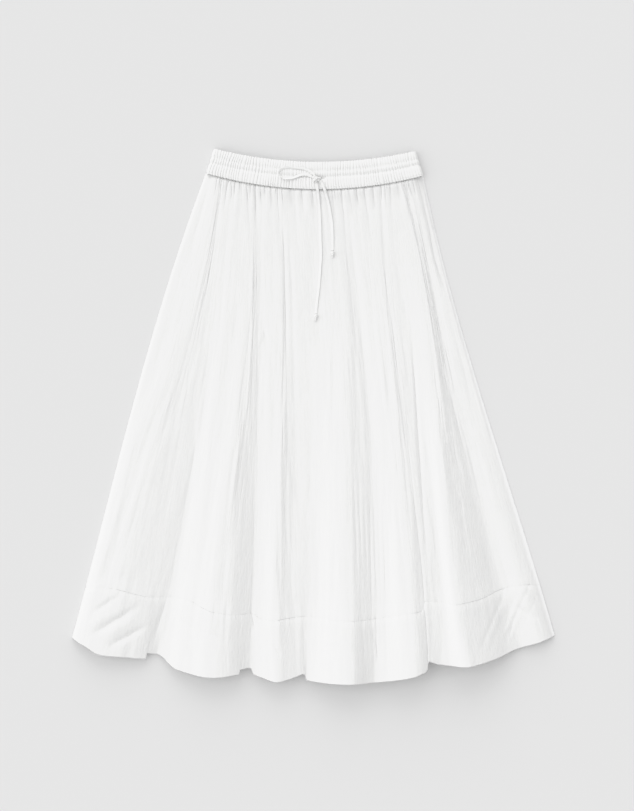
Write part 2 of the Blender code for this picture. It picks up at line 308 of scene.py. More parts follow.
BACK_RUN_CREASES = table("""
waist_x start end width height
-160 0 120 3.0 1.2
-126 0 300 3.6 1.5
-88 0 90 2.8 1.1
-51 20 520 3.4 1.3
-12 0 140 3.0 1.2
30 0 80 2.8 1.0
66 20 430 3.6 1.5
104 0 110 3.0 1.1
141 0 260 3.2 1.3
170 10 150 2.8 1.1
""")

# A crease that lies across the cloth's run, from one plan point to another
PlanCrease = namedtuple("PlanCrease", "x1 y1 x2 y2 width height")
FRONT_PLAN_CREASES = table("""
x1 y1 x2 y2 width height
-399 -391 -301 -330 5.0 -3.0
-405 -376 -344 -340 5.0 0.9
-393 -349 -334 -312 4.0 -2.0
-370 -409 -288 -366 4.6 -2.6
-372 -392 -310 -354 5.0 0.8
-388 -300 -352 -262 5.0 -1.2
-372 -268 -340 -226 4.5 -1.0
-258 -318 -288 -412 4.0 -1.4
-236 -352 -206 -382 5.0 -1.2
-196 -372 -160 -398 4.5 -1.0
-110 -342 -100 -381 3.6 -1.7
-90 164 -78 108 3.4 -1.0
-86 150 -100 128 3.0 0.8
-72 -392 -54 -432 4.0 -1.0
8 -392 58 -398 3.4 0.8
2 -424 52 -429 3.2 0.7
103 -372 117 -440 4.2 -1.3
200 342 232 214 6.0 -1.8
214 120 252 -20 5.0 -1.3
236 -36 262 -120 4.4 -1.1
170 190 198 -270 3.4 -2.2
350 -330 396 -362 4.6 -1.4
372 -310 404 -338 4.0 -1.0
""")
BACK_PLAN_CREASES = table("""
x1 y1 x2 y2 width height
-380 -360 -310 -330 6.0 1.8
-240 -250 -190 -330 5.0 1.3
-40 -300 -20 -420 5.0 1.2
120 -330 150 -410 5.0 1.3
300 -300 372 -350 6.0 1.6
""")

# Short even creases side by side, as a slanting hatch over a slope
HATCH_SHIFT, HATCH_GROWTH, HATCH_DEPTH_CHANGE = 8.0, 0.18, 0.35
FRONT_HATCHES = table("""
x1 y1 x2 y2 step_x step_y count width height
282 -424 324 -322 9.0 3.0 9 2.4 -0.9
222 -60 236 -30 2.6 -12.0 16 2.8 -0.7
70 -118 76 -330 8.6 -4.0 8 2.3 -0.7
84 -350 88 -438 8.2 1.0 6 2.2 -0.6
-372 -212 -350 -236 6.0 -15.0 6 3.2 0.7
""")


def smooth_step(value):
    """0 below 0, 1 above 1, and an S curve between."""
    value = np.clip(value, 0.0, 1.0)
    return value * value * (3.0 - 2.0 * value)


def fade(value):
    """1 below 0, 0 above 1, and an S curve between."""
    return 1.0 - smooth_step(value)


def mix(one, two, share):
    """One value at share 0, the other at share 1."""
    return one * (1.0 - share) + two * share


def full_turn(count):
    """Angles evenly round a circle."""
    return np.linspace(0.0, 2.0 * math.pi, count, endpoint=False)


def curve_through(knots, values, at):
    """The smooth curve through the values at the knots, which never overshoots them."""
    knots, values = np.asarray(knots, float), np.asarray(values, float)
    step = np.diff(knots)
    rise = np.diff(values) / step
    before, after = rise[:-1], rise[1:]
    turns = before * after <= 0.0
    total = np.where(turns, 1.0, before + after)
    slope = np.zeros(len(knots))
    slope[1:-1] = np.where(turns, 0.0, 2.0 * before * after / total)
    slope[0], slope[-1] = rise[0], rise[-1]
    index = np.clip(np.searchsorted(knots, at, side="right") - 1, 0, len(step) - 1)
    s = (at - knots[index]) / step[index]
    start, end = values[index], values[index + 1]
    bend = s * (1.0 - s)
    pull = (1.0 - s) * slope[index] - s * slope[index + 1]
    twist = (1.0 - 2.0 * s) * (end - start)
    return start + s * (end - start) + bend * (pull * step[index] - twist)


def cubic_through(stations, values, at):
    """The cubic through four stations, read at one place."""
    total = 0.0
    for i, (station, value) in enumerate(zip(stations, values)):
        weight = 1.0
        for j, other in enumerate(stations):
            if j != i:
                weight = weight * (at - other) / (station - other)
        total = total + weight * value
    return total


def with_supports(shares, length):
    """Places from 0 to 1 along a length, with more of them close to both ends."""
    near = np.array(EDGE_SUPPORTS) / length
    return np.unique(np.concatenate((shares, near, 1.0 - near)))


def band_at(along):
    """The waistband at a place from its heading (along = 0) to its seam (along = 1)."""
    return BandEdge(*(top + (seam - top) * along for top, seam in zip(BAND_TOP, BAND_SEAM)))


def waist_y(x, along):
    """Y of the waistband at x."""
    band = band_at(along)
    across = (x - band.centre) / band.half_width
    return band.y - band.sag * (1.0 - across * across) - BAND_TILT * across


NOISE_SIZE = 64


def smooth_noise(across, along, seed):
    """Smooth noise from -1 to 1, one lump to each whole step of the two coordinates."""
    lattice = np.random.default_rng(seed).uniform(-1.0, 1.0, (NOISE_SIZE, NOISE_SIZE))
    across, along = np.broadcast_arrays(across, along)
    i, j = np.floor(across).astype(int), np.floor(along).astype(int)
    s, t = smooth_step(across - i), smooth_step(along - j)
    i, j = i % NOISE_SIZE, j % NOISE_SIZE
    i_next, j_next = (i + 1) % NOISE_SIZE, (j + 1) % NOISE_SIZE
    near = mix(lattice[i, j], lattice[i_next, j], s)
    return mix(near, mix(lattice[i, j_next], lattice[i_next, j_next], s), t)


# ---- cloth
class Sheet:
    """The cloth of one side of the skirt, from its fold lines."""

    def __init__(self, folds, gathers, gather_lift, is_front, columns):
        self.is_front = is_front
        self.gather_lift = gather_lift
        knots = self._knots(folds)
        shares = with_supports(np.linspace(0.0, 1.0, columns + 1), knots[-1])
        self.places = shares * knots[-1]
        self.from_edge = np.minimum(self.places, self.places[-1] - self.places)
        for field in folds[0]._fields[1:]:
            values = [getattr(fold, field) for fold in folds]
            setattr(self, field, curve_through(knots, values, self.places))
        self.hem_y = self.hem_y + self._hem_rise() if is_front else self.hem_y
        self.height = self._softened(self.height)
        self.seam = waist_y(self.waist, 1.0) - SEAM_GAP
        even = shares * gathers
        self.phase = even + GATHER_JITTER * smooth_noise(even * 0.9, 0.5, JITTER_SEED)
        self.spacing = np.gradient(self.waist, even)
        from_side = np.minimum(self.waist - self.waist[0], self.waist[-1] - self.waist)
        self.fullness = smooth_step(from_side / SIDE_FADE)
        pressed = smooth_step(self.from_edge / SIDE_PRESS)
        self.thin = SIDE_THINNESS + (1.0 - SIDE_THINNESS) * pressed

    def _knots(self, folds):
        """Distance of each fold line from the left side, along the hem and the waist."""
        places = [0.0]
        for one, two in zip(folds, folds[1:]):
            hem_x, hem_y, up = two.hem - one.hem, two.hem_y - one.hem_y, two.height - one.height
            hem_run = math.sqrt(hem_x**2 + hem_y**2 + up**2)
            places.append(places[-1] + hem_run + WAIST_SPREAD * abs(two.waist - one.waist))
        return places

    def _softened(self, heights):
        """Heights with their sharp folds rounded, except beside the side seams."""
        apart = (self.places[:, None] - self.places) / FOLD_SOFTNESS
        weights = np.exp(-0.5 * apart**2)
        soft = weights @ heights / weights.sum(axis=1)
        share = smooth_step(self.from_edge / (3.0 * FOLD_SOFTNESS))
        return heights + (soft - heights) * share

    def _hem_rise(self):
        """How far the hem's laps raise or lower its edge."""
        total = np.zeros_like(self.hem)
        for step in FRONT_HEM_STEPS:
            share = (self.hem - step.x1) / (step.x2 - step.x1)
            inside = (share >= 0.0) & (share <= 1.0)
            total += np.where(inside, step.rise1 + (step.rise2 - step.rise1) * share, 0.0)
        return total

    def gather_height(self, below):
        """How far the gathers lift the cloth: broad ridges, narrow creases, uneven lengths."""
        number = np.floor(self.phase)
        length = SHORT_GATHER + (LONG_GATHER - SHORT_GATHER) * ((number * GATHER_LENGTH_STEP) % 1.0)
        uneven = GATHER_SHARE + GATHER_CHANGE * smooth_noise(number * 0.37, 0.5, GATHER_SEED)
        lift = np.minimum(self.gather_lift, GATHER_STEEPNESS * self.spacing) * uneven
        wave = np.abs(np.sin(math.pi * self.phase)) ** GATHER_ROUNDNESS
        main = lift * wave * fade(below / length)
        fine_phase = self.phase * FINE_GATHERS_PER_GATHER
        fine_wave = np.abs(np.sin(math.pi * fine_phase))
        fine_room = 0.6 + 0.4 * smooth_noise(self.phase, 2.5, FINE_SEED)
        fine_fade = fade(below / (FINE_GATHER_LENGTH * fine_room))
        opened = smooth_step((below - PINCH_FLAT) / PINCH_LENGTH)
        pinch = PINCHED_SHARE + PINCH_OPENING * opened
        return (main + FINE_GATHER_LIFT * fine_wave * fine_fade) * pinch * self.fullness

    def base_height(self, y):
        """Height of the front's underside where it lies on the back."""
        if not self.is_front:
            return 0.0
        below = self.seam - y
        room = (BACK_GATHER_LIFT + 2.0 * LAYER_GAP) * self.fullness
        room = room * fade(below / GATHER_ROOM_LENGTH)
        step = smooth_step((self.seam_y + HEM_RISE - y) / HEM_RISE)
        pinch = PINCH_DEPTH * fade((below - PINCH_FLAT) / PINCH_LENGTH)
        lift = PANEL_WALL + LAYER_GAP + (HEM_WALL - PANEL_WALL) * step
        puff = PUFF_LIFT * fade(below / PUFF_LENGTH)
        return lift * self.thin + room + (puff - pinch) * self.fullness

    def crinkle_height(self, below):
        """The cotton's crinkles, which run down the cloth and hardly lift its side edges."""
        total = np.zeros_like(below)
        for crinkle in CRINKLES:
            lumps = smooth_noise(self.places / crinkle.across, below / crinkle.along, int(crinkle.seed))
            total += crinkle.lift * lumps
        opened = CRINKLES_AT_WAIST + CRINKLES_OPENING * smooth_step(below / CRINKLES_OPEN)
        return total * smooth_step(self.from_edge / SIDE_CALM) * opened

    def pucker_height(self, y):
        """The groove and puckers along the hem band's seam."""
        distance = np.abs(y - self.seam_y)
        groove = -SEAM_GROOVE_DEPTH * np.exp(-((distance / SEAM_GROOVE_WIDTH) ** 2))
        puckers = smooth_noise(self.places / PUCKER_PITCH, 0.5, PUCKER_SEED + int(self.is_front))
        return groove + PUCKER_LIFT * puckers * np.exp(-distance / PUCKER_LENGTH)

    def run_crease_height(self, crease, x, below):
        """One crease along the cloth's run."""
        place = np.interp(crease.waist_x, self.waist, self.places)
        middle = np.array([np.interp(place, self.places, row) for row in x])
        share = (below - crease.start) / (crease.end - crease.start)
        fade_in = 1.0 if crease.start <= 0 else smooth_step(share / CREASE_FADE_IN)
        fade_out = fade((share - CREASE_FADE_OUT) / CREASE_FADE_LENGTH)
        spread = crease.width * (1.0 + CREASE_SPREAD * np.clip(share, 0.0, 1.0))
        profile = np.exp(-(((x - middle[:, None]) / spread) ** 2))
        return crease.height * (fade_in * fade_out) * profile

    def surface(self, top, bottom, rows, run_creases, plan_creases):
        """Points of the cloth's underside, as rows and columns."""
        y = top + (bottom - top) * rows[:, None]
        stations = (self.seam, UPPER_Y, MIDDLE_Y, self.hem_y)
        x = cubic_through(stations, (self.waist, self.upper, self.middle, self.hem), y)
        below = np.maximum(self.seam - y, 0.0)
        share = below / (self.seam - self.hem_y)
        z = self.base_height(y) + self.height * share**FOLD_GROWTH
        z = z + self.gather_height(below) + self.crinkle_height(below) + self.pucker_height(y)
        for crease in run_creases:
            z = z + self.run_crease_height(crease, x, below)
        for crease in plan_creases:
            z = z + plan_crease_height(crease, x, y)
        lowest = (PANEL_WALL + LAYER_GAP / 2.0) * self.thin if self.is_front else 0.0
        return np.stack((x, y, np.maximum(z, lowest)), axis=2)


def plan_crease_height(crease, x, y):
    """One crease between two plan points, tapered at both ends."""
    run_x, run_y = crease.x2 - crease.x1, crease.y2 - crease.y1
    length = math.hypot(run_x, run_y)
    along = ((x - crease.x1) * run_x + (y - crease.y1) * run_y) / length**2
    beside = ((x - crease.x1) * run_y - (y - crease.y1) * run_x) / length
    taper = np.sin(math.pi * np.clip(along, 0.0, 1.0)) ** 1.3
    return crease.height * taper * np.exp(-((beside / crease.width) ** 2))


def hatch_creases(hatches):
    """The single creases of each hatch, with uneven lengths and depths."""
    creases = []
    for hatch in hatches:
        for i in range(int(hatch.count)):
            uneven = math.sin(2.4 * i + hatch.x1)
            shift_x, shift_y = hatch.step_x * i, hatch.step_y * i + HATCH_SHIFT * uneven
            grown = 1.0 + HATCH_GROWTH * uneven
            end_x = hatch.x1 + (hatch.x2 - hatch.x1) * grown
            end_y = hatch.y1 + (hatch.y2 - hatch.y1) * grown
            start, end = (hatch.x1 + shift_x, hatch.y1 + shift_y), (end_x + shift_x, end_y + shift_y)
            height = hatch.height * (1.0 + HATCH_DEPTH_CHANGE * uneven)
            creases.append(PlanCrease(*start, *end, hatch.width, height))
    return tuple(creases)


# ---- meshes
RIM_ROUNDNESS = 0.4

# Slopes that face right show crinkles, from one steepness over a range of it. Near the right edge,
# slopes that face right are painted paler: painted light that lifts the shade they lie in.
SLOPE_START, SLOPE_RANGE = 0.03, 0.22
PAINTED_LIGHT_WIDTH, PAINTED_LIGHT_SLOPE = 14.0, 0.35

# The panels' rows lie closer together towards the waist
ROW_START, ROW_GROWTH = 0.42, 0.58


def unit(vectors):
    """Vectors scaled to a length of one."""
    return vectors / np.maximum(np.linalg.norm(vectors, axis=-1, keepdims=True), 1e-6)


def add_object(name, data):
    """Puts a mesh, a lamp or a camera into the scene."""
    obj = bpy.data.objects.new(name, data)
    bpy.context.scene.collection.objects.link(obj)
    return obj


def make_mesh(name, vertices, faces, uvs, material):
    """A smooth mesh from lists of points and UVs in millimetres. Its UVs are metres of cloth."""
    mesh = bpy.data.meshes.new(name)
    points = np.concatenate(vertices) * MM
    mesh.from_pydata(points.tolist(), [], np.concatenate(faces).tolist())
    loops = np.empty(len(mesh.loops), dtype=np.int32)
    mesh.loops.foreach_get("vertex_index", loops)
    uv = (np.concatenate(uvs)[loops] * MM).astype(np.float32)
    mesh.uv_layers.new(name="cloth").data.foreach_set("uv", uv.ravel())
    mesh.materials.append(material)
    mesh.shade_smooth()
    mesh.validate()
    return add_object(name, mesh)


def grid_normals(points):
    """Unit normals of a grid, upward from the cloth."""
    return unit(np.cross(np.gradient(points, axis=0), np.gradient(points, axis=1)))


def rim_faces(upper, middle, lower):
    """Faces of a rounded rim, from one surface's edge round to the other's."""
    edges = [(edge, np.roll(edge, -1)) for edge in (upper, middle, lower)]
    pairs = zip(edges, edges[1:])
    return np.concatenate([np.stack((a, a_next, b_next, b), 1) for (a, a_next), (b, b_next) in pairs])


def mark(obj, name, values):
    """Gives an object a value at each of its points, for its material."""
    layer = obj.data.attributes.new(name, "FLOAT", "POINT")
    layer.data.foreach_set("value", np.asarray(values, dtype=np.float32))


def mark_slopes_and_painted_light(obj, from_right):
    """Marks the slopes that face right, and the painted light that whitens those near the right edge."""
    normals = np.empty(len(obj.data.vertices) * 3, dtype=np.float32)
    obj.data.vertices.foreach_get("normal", normals)
    right = normals[0::3]
    mark(obj, "slope", smooth_step((right - SLOPE_START) / SLOPE_RANGE))
    # Painted light: how much the colour is whitened, near the right edge and more on slopes facing right
    near = fade(from_right / PAINTED_LIGHT_WIDTH)
    near = np.concatenate((near, near, np.ones(len(right) - 2 * len(near))))
    mark(obj, "edge", near * smooth_step(right / PAINTED_LIGHT_SLOPE))


def shell_edges(index, closed):
    """The points round a grid's edges, and the points one step inside them."""
    edges, inside = [index[0, ::-1], index[-1]], [index[1, ::-1], index[-2]]
    if closed:
        return edges, inside
    edge = np.concatenate((edges[0], index[1:, 0], index[-1, 1:], index[-2:0:-1, -1]))
    inner = np.concatenate((inside[0], index[1:, 1], index[-2, 1:], index[-2:0:-1, -2]))
    return [edge], [inner]


def cloth_shell(name, points, outer, uv, material, closed=False, flush_row=None):
    """A closed shell between two grids of points, the lower and the outer, with round rims.

    The rim along a flush row is flat, so that two cloths sewn together there show no groove.
    """
    rows, columns = points.shape[:2]
    index = np.arange(rows * columns).reshape(rows, columns)
    left = index if closed else index[:, :-1]
    right = np.roll(index, -1, axis=1) if closed else index[:, 1:]
    quads = np.stack((left[:-1], left[1:], right[1:], right[:-1]), axis=2).reshape(-1, 4)
    lower, upper, uv = points.reshape(-1, 3), outer.reshape(-1, 3), uv.reshape(-1, 2)
    vertices, uvs, faces = [upper, lower], [uv, uv], [quads, quads[:, ::-1] + len(lower)]
    start = 2 * len(lower)
    for edge, inner in zip(*shell_edges(index, closed)):
        wall = upper[edge] - lower[edge]
        reach = np.linalg.norm(wall, axis=1, keepdims=True) * RIM_ROUNDNESS
        if flush_row is not None:
            reach[np.isin(edge, index[flush_row])] = 0.0
        vertices.append(lower[edge] + wall / 2.0 + unit(lower[edge] - lower[inner]) * reach)
        uvs.append(uv[edge])
        faces.append(rim_faces(edge, np.arange(start, start + len(edge)), edge + len(lower)))
        start += len(edge)
    return make_mesh(name, vertices, faces, uvs, material)


def finish_piece(obj, slot, *nodes):
    """Puts a piece on the part's one body and hides the solids that it stands for. Its slot is not used.
    """
    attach(obj, "root")
    if nodes:
        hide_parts(*nodes)
    return obj


def sheet_rows(count, length, is_panel):
    """Rows of a sheet from 0 to 1, with more of them beside its edges."""
    even = np.linspace(0.0, 1.0, count + 1)
    return with_supports(even * (ROW_START + ROW_GROWTH * even) if is_panel else even, length)


def add_sheet(name, node, sheet, rows, is_panel, creases, cotton):
    """One panel or hem band, and the points of its underside."""
    top, bottom = (sheet.seam, sheet.seam_y) if is_panel else (sheet.seam_y, sheet.hem_y)
    points = sheet.surface(top, bottom, sheet_rows(rows, np.mean(top - bottom), is_panel), *creases)
    below_hem_seam = smooth_step((sheet.seam_y - points[..., 1]) / HEM_TAPER)
    wall = (PANEL_WALL + (HEM_WALL - PANEL_WALL) * below_hem_seam) * sheet.thin
    outer = points + grid_normals(points) * wall[..., None]
    along = np.broadcast_to(sheet.places, points.shape[:2])
    uv = np.stack((along, sheet.seam - points[..., 1]), axis=2)
    obj = cloth_shell(name, points, outer, uv, cotton, flush_row=-1 if is_panel else 0)
    mark_slopes_and_painted_light(obj, (sheet.places[-1] - along).ravel())
    return finish_piece(obj, "cotton", node), points


def add_sheets(cotton):
    """The two panels and the two hem bands, each with the points of its underside."""
    front = Sheet(FRONT_FOLDS, FRONT_GATHERS, GATHER_LIFT, True, FRONT_GRID[0])
    back = Sheet(BACK_FOLDS, BACK_GATHERS, BACK_GATHER_LIFT, False, BACK_GRID[0])
    on_front = (FRONT_RUN_CREASES, FRONT_PLAN_CREASES + hatch_creases(FRONT_HATCHES))
    on_back = (BACK_RUN_CREASES, BACK_PLAN_CREASES)
    made, points = {}, {}
    for name, node, sheet, rows, is_panel, creases in (
        ("front_cloth", "front_panel", front, FRONT_GRID[1], True, on_front),
        ("front_hem_cloth", "front_hem_band", front, FRONT_HEM_GRID[1], False, on_front),
        ("back_cloth", "back_panel", back, BACK_GRID[1], True, on_back),
        ("back_hem_cloth", "back_hem_band", back, BACK_HEM_GRID[1], False, on_back),
    ):
        made[name], points[name] = add_sheet(name, node, sheet, rows, is_panel, creases, cotton)
    return made, points


# ---- waistband
BAND_RIBS_A_SIDE = 76
BAND_COLUMNS_A_RIB = 8
BAND_FLAT_COLUMNS = BAND_RIBS_A_SIDE * BAND_COLUMNS_A_RIB
BAND_TURN_COLUMNS = 30
BAND_ROWS = 28
BAND_SHELL_WALL = 1.6
BAND_RIB_DEPTH, BAND_RIB_ROUNDNESS = 1.5, 0.6
BAND_TUCK_DEPTH, BAND_TUCK_START, BAND_TUCK_LENGTH = 0.9, 0.9, 0.1
HEADING_SCALLOP, SEAM_SCALLOP, SCALLOP_LENGTH, SEAM_SCALLOP_START = 0.7, 0.9, 0.12, 0.88

# How the ribs wander: how far, over how many ribs and how often down the band, and the seed
RibNoise = namedtuple("RibNoise", "size ribs down seed")
RIB_SWAY, RIB_DEPTH_CHANGE = RibNoise(0.4, 4.0, 2.5, 31), RibNoise(0.5, 2.1, 3.0, 33)
RIB_JITTER, LEAST_RIB_DEPTH = RibNoise(0.45, 1.7, 0.0, 32), 0.75

# The stitch lines: place along the band, how deep it is drawn in there, and how widely
StitchLine = namedtuple("StitchLine", "along depth width")
BAND_STITCH_LINES = (StitchLine(0.31, 0.9, 0.05), StitchLine(0.55, 1.7, 0.055))
HEADING_ROLL = StitchLine(0.0, 1.2, 0.07)

# The slit in the front that the drawstring comes out of
SLIT_X1, SLIT_X2 = 5.0, 23.0
SLIT_ALONG, SLIT_HALF_HEIGHT, SLIT_DEPTH = 0.6, 0.045, 3.4
FACING_UP = 0.9


def band_dip(along):
    """How far the casing is drawn in at its heading and at its stitch lines."""
    total = 0.0
    for line in (HEADING_ROLL, *BAND_STITCH_LINES):
        total = total + line.depth * np.exp(-np.abs((along - line.along) / line.width) ** 1.5)
    return total


def band_outline():
    """Place across, from -1 to 1, and outward direction, round the flattened tube."""
    flat = np.linspace(-1.0, 1.0, BAND_FLAT_COLUMNS, endpoint=False)
    turn = np.linspace(0.0, math.pi, BAND_TURN_COLUMNS, endpoint=False)
    top, side = np.full(BAND_FLAT_COLUMNS, math.pi / 2.0), np.ones(BAND_TURN_COLUMNS)
    across = np.concatenate((flat, side, -flat, -side))
    angle = np.concatenate((top, math.pi / 2.0 - turn, -top, -math.pi / 2.0 - turn))
    return across, angle


def rib_noise(kind, rib, along):
    """Uneven values over the ribs, and down the band where the kind changes there."""
    down = along * kind.down if kind.down else 0.5
    return kind.size * smooth_noise(rib / kind.ribs, down, kind.seed)


def slit_depth(x, along):
    """How far the front is pushed in at the slit."""
    across = 1.0 - ((2.0 * x - SLIT_X1 - SLIT_X2) / (SLIT_X2 - SLIT_X1)) ** 2
    height = np.exp(-(((along - SLIT_ALONG) / SLIT_HALF_HEIGHT) ** 2))
    return SLIT_DEPTH * (np.clip(across, 0.0, 1.0) * height)


def band_points(across, angle, along):
    """The casing's outer surface at places round the tube and along its height."""
    radius = BAND_THICKNESS / 2.0
    band = band_at(along)
    x_middle = band.centre + (band.half_width - radius) * across
    rib = np.arange(across.shape[-1]) / BAND_COLUMNS_A_RIB
    phase = rib + rib_noise(RIB_SWAY, rib, along) + rib_noise(RIB_JITTER, rib, along)
    valley = 1.0 - np.abs(np.sin(math.pi * phase)) ** BAND_RIB_ROUNDNESS
    unevenness = LEAST_RIB_DEPTH + rib_noise(RIB_DEPTH_CHANGE, rib, along)
    tuck = BAND_TUCK_DEPTH * smooth_step((along - BAND_TUCK_START) / BAND_TUCK_LENGTH)
    reach = radius - band_dip(along) - tuck - BAND_RIB_DEPTH * valley * unevenness
    heading = HEADING_SCALLOP * fade(along / SCALLOP_LENGTH)
    seam = SEAM_SCALLOP * smooth_step((along - SEAM_SCALLOP_START) / SCALLOP_LENGTH)
    y = waist_y(x_middle, along) + (heading - seam) * (1.0 - valley)
    x = x_middle + reach * np.cos(angle)
    reach = reach - slit_depth(x, along) * (np.sin(angle) > FACING_UP)
    return np.stack((x, y, radius + reach * np.sin(angle)), axis=-1)


def add_waistband(casing):
    """The elastic waistband, gathered all round in three puffed rows."""
    across, angle = band_outline()
    height = BAND_TOP.y - BAND_SEAM.y
    along = with_supports(np.linspace(0.0, 1.0, BAND_ROWS + 1), height)[:, None]
    outer = band_points(across[None, :], angle[None, :], along)
    outward = np.stack((np.cos(angle), np.zeros(len(angle)), np.sin(angle)), axis=1)
    inner = outer - outward * BAND_SHELL_WALL
    arc = np.arange(len(across)) * (2.0 * BAND_TOP.half_width / BAND_FLAT_COLUMNS)
    uv = np.stack(np.broadcast_arrays(arc[None, :], along * height), axis=2)
    obj = cloth_shell("waistband_cloth", inner, outer, uv, casing, closed=True)
    return finish_piece(obj, "gathered_casing", "waistband")


# ---- drawstring
RIBBON_HALF_WIDTH = 2.2
RIBBON_HALF_THICKNESS = 0.4
RIBBON_SIDES, RIBBON_SQUARENESS = 12, 0.75
RIBBON_STEP = 1.5
CLOTH_CLEARANCE = -0.1
UP = np.array((0.0, 0.0, 1.0))
ASKEW = (0.13, 0.21, 1.0)
UV_ROUND_TUBE = 0.8

# A ribbon settles on the highest cloth under its width and within some steps of it
UNDER_RIBBON = (-1.7, 0.0, 1.7)
SETTLE_STEPS = 4

# Near the bow's knot the ribbons rise to it
KNOT_REACH, KNOT_LIFT = 13.0, 1.1

# The end of a tail: its knot, and the tip of cord that comes out of it
EndKnot = namedtuple("EndKnot", "name node centre tip")
END_KNOTS = (
    EndKnot("long_end_knot", "end_knot_long", LONG_END_KNOT, (3.2, 165.8)),
    EndKnot("short_end_knot", "end_knot_short", SHORT_END_KNOT, (34.0, 277.4)),
)
END_KNOT_THREAD, END_KNOT_SINK = 1.35, 0.3
TIP_STEP, TIP_HALF_THICKNESS, TIP_HEIGHT = 0.8, 0.6, 1.1
TIP_START_WIDTH, TIP_END_WIDTH = 1.2, 1.9

# A free stretch of the cord, how far it turns on edge, and the end knot that it has. A tail
# turns in waves, and the loop turns less at its start.
TAIL_WAVES, TAIL_START, LOOP_START = 2.2, 0.6, 0.35
Ribbon = namedtuple("Ribbon", "name node route turn knot")
RIBBONS = (
    Ribbon("loop_ribbon", "drawstring_loop", LOOP_ROUTE, 1.15, None),
    Ribbon("long_tail_ribbon", "drawstring_tail_long", LONG_TAIL_ROUTE, 0.22, "long_end_knot"),
    Ribbon("short_tail_ribbon", "drawstring_tail_short", SHORT_TAIL_ROUTE, 0.2, "short_end_knot"),
)

# The strands of the bow's knot: plan place and height, above its middle or above the cloth
KNOT_HEIGHT = 3.4
KNOT_STRANDS = (
    ((1.6, 421.4, 0.6), (2.6, 417.5, 1.2), (5.4, 413.6, 0.7), (10.0, 412.0, -0.8)),
    ((-2.4, 418.3, 0.0), (1.2, 416.4, 0.2), (4.0, 412.4, 0.0), (5.4, 408.4, -0.9)),
    ((4.0, 414.8, -1.6), (7.5, 416.0, 1.2), (10.0, 416.6, 0.2), (13.0, 417.0, -1.4)),
    ((3.0, 413.0, -1.8), (6.5, 414.4, 1.0), (9.5, 415.6, 0.0), (12.5, 416.4, -1.6)),
)
LEADS_FROM = 2
STRAND_HALF_WIDTH, STRAND_HALF_THICKNESS, STRAND_TURN = 1.9, 0.85, 0.35
WRAP_AXIS, WRAP_ACROSS, WRAP_UP, WRAP_HALF_WIDTH, WRAP_POINTS = (0.62, -0.78), 4.6, 3.0, 2.1, 40
THREAD_POINTS, THREAD_SIDES = 60, 8


def arc_places(points):
    """Distance of each point of a line from its start."""
    return np.concatenate(([0.0], np.cumsum(np.linalg.norm(np.diff(points, axis=0), axis=1))))


def route_points(route, step):
    """Points about every step along the smooth curve through a route."""
    route = np.array(route, float)
    places = arc_places(route)
    at = np.linspace(0.0, places[-1], max(2, round(places[-1] / step)) + 1)
    return np.stack([curve_through(places, route[:, axis], at) for axis in range(3)], axis=1)


def cloth_tree(objects):
    """A tree of the cloth's faces, to find its height under a cord."""
    vertices, faces = [], []
    for obj in objects:
        start = len(vertices)
        vertices += [vertex.co.copy() for vertex in obj.data.vertices]
        faces += [[start + i for i in face.vertices] for face in obj.data.polygons]
    return BVHTree.FromPolygons(vertices, faces)


def cloth_height(tree, x, y):
    """The cloth's upper side at one plan point."""
    hit = tree.ray_cast(Vector((x, y, 200.0)) * MM, Vector((0.0, 0.0, -1.0)))
    return hit[0].z / MM


def settle(points, tree, half_thickness):
    """Lets a route sink onto the cloth under it, smoothly, without cutting into it."""
    across = np.gradient(points, axis=0)[:, [1, 0]] * (1.0, -1.0)
    across /= np.linalg.norm(across, axis=1, keepdims=True)
    heights = []
    for point, side in zip(points, across):
        heights.append(max(cloth_height(tree, *(point[:2] + side * r)) for r in UNDER_RIBBON))
    heights = np.array(heights)
    near = 2 * SETTLE_STEPS + 1
    padded = np.pad(heights, SETTLE_STEPS, mode="edge")
    highest = np.max([padded[i : i + len(heights)] for i in range(near)], axis=0)
    window = np.hanning(near)
    padded = np.pad(highest, SETTLE_STEPS, mode="edge")
    smooth = np.convolve(padded, window / window.sum(), mode="valid")
    settled = points.copy()
    settled[:, 2] = np.maximum(smooth, heights) + half_thickness + CLOTH_CLEARANCE
    return settled


def rise_to_knot(points):
    """Raises the part of a route that is near the bow's knot."""
    distance = np.linalg.norm(points[:, :2] - KNOT_CENTRE, axis=1)
    raised = points.copy()
    raised[:, 2] += KNOT_LIFT * fade(distance / KNOT_REACH)
    return raised


def axes_across(tangent, upward):
    """Two directions across a line: beside it, and as near to upward as it allows."""
    tangent = unit(tangent)
    side = unit(np.cross(tangent, upward))
    return side[:, None], np.cross(side, tangent)[:, None]


def ribbon_rings(points, half_width, half_thickness, roll):
    """Rings of a flat braided cord along its points. Roll turns it on edge, in radians."""
    side, up = axes_across(np.gradient(points, axis=0), UP)
    roll = np.broadcast_to(roll, len(points))[:, None, None]
    wide = side * np.cos(roll) + up * np.sin(roll)
    thick = up * np.cos(roll) - side * np.sin(roll)
    turn = full_turn(RIBBON_SIDES)
    half_width = np.broadcast_to(half_width, len(points))[:, None, None]
    cos, sin = (np.sign(f) * np.abs(f) ** RIBBON_SQUARENESS for f in (np.cos(turn), np.sin(turn)))
    return points[:, None] + wide * (cos[:, None] * half_width) + thick * (sin * half_thickness)[:, None]


def round_rings(points, radius, sides, closed):
    """Rings of a round tube along its points."""
    around = np.roll(points, -1, axis=0) - np.roll(points, 1, axis=0)
    side, up = axes_across(around if closed else np.gradient(points, axis=0), ASKEW)
    turn = full_turn(sides)[:, None]
    radius = np.broadcast_to(radius, len(points))[:, None, None]
    return points[:, None] + radius * (side * np.cos(turn) + up * np.sin(turn))


